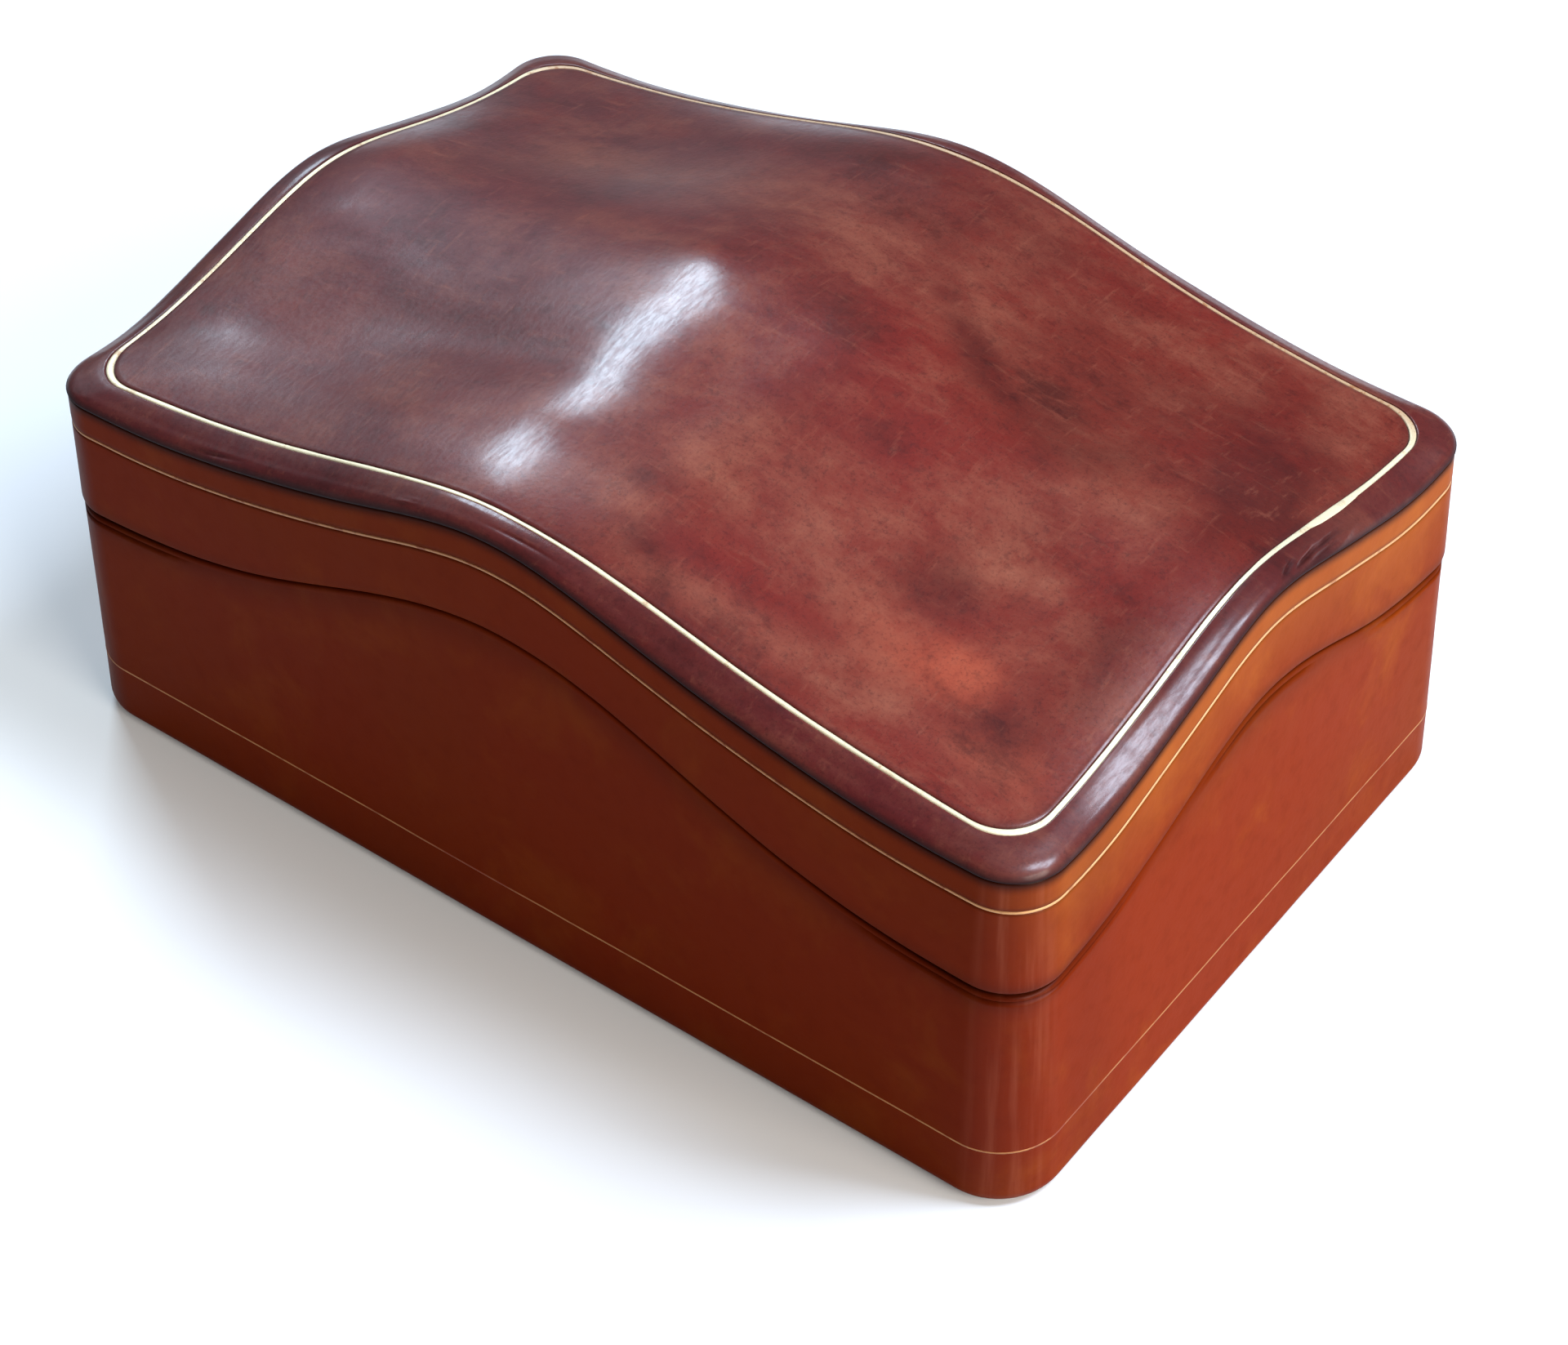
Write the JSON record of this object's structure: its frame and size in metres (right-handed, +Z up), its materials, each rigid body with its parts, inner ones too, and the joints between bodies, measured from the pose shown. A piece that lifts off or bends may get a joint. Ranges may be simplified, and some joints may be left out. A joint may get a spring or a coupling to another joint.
{
  "type": "stationery box",
  "caption": "Rectangular desk box in moulded leather over wood, its rim and lid swelling up at the middle of each side, with a lift-off lid held by an inner lip.",
  "frame": {"origin": "on the table plane, under the middle of the box", "axes": "+X along the long side, +Y along the short side away from the long side the picture shows, +Z up, the way the lid lifts"},
  "size_m": [0.2046, 0.1366, 0.0964],
  "materials": {
    "oxblood_leather": "waxed gloss, mottled oxblood",
    "chestnut_leather": "polished satin, chestnut tan",
    "sole_leather": "matt, dark brown",
    "gilt_top": "pale gold leaf in a tooled groove",
    "gilt_fine": "fine worn gold leaf line",
    "wood_carcass": "bare sanded hardwood",
    "lining": "matt suede-like split leather"
  },
  "bodies": {
    "base": {"base_underside_leather": "sole_leather", "base_floor_board": "wood_carcass", "base_front_wall": "wood_carcass", "base_back_wall": "wood_carcass", "base_left_wall": "wood_carcass", "base_right_wall": "wood_carcass", "base_leather": "chestnut_leather", "base_foot_gilt_line": "gilt_fine", "base_floor_lining": "lining", "lip_front": "lining", "lip_back": "lining", "lip_left": "lining", "lip_right": "lining"},
    "lid": {"lid_side_leather": "chestnut_leather", "lid_side_gilt_line": "gilt_fine", "lid_front_wall": "wood_carcass", "lid_back_wall": "wood_carcass", "lid_left_wall": "wood_carcass", "lid_right_wall": "wood_carcass", "lid_front_lining": "lining", "lid_back_lining": "lining", "lid_left_lining": "lining", "lid_right_lining": "lining", "lid_top_core": "wood_carcass", "lid_ceiling_lining": "lining", "lid_top_leather": "oxblood_leather", "lid_top_gilt_line": "gilt_top"}
  },
  "joints": [
    {"name": "lid_lift", "type": "slide", "parent": "base", "child": "lid", "axis": [0, 0, 1], "range_m": [0, 0.09]}
  ]
}
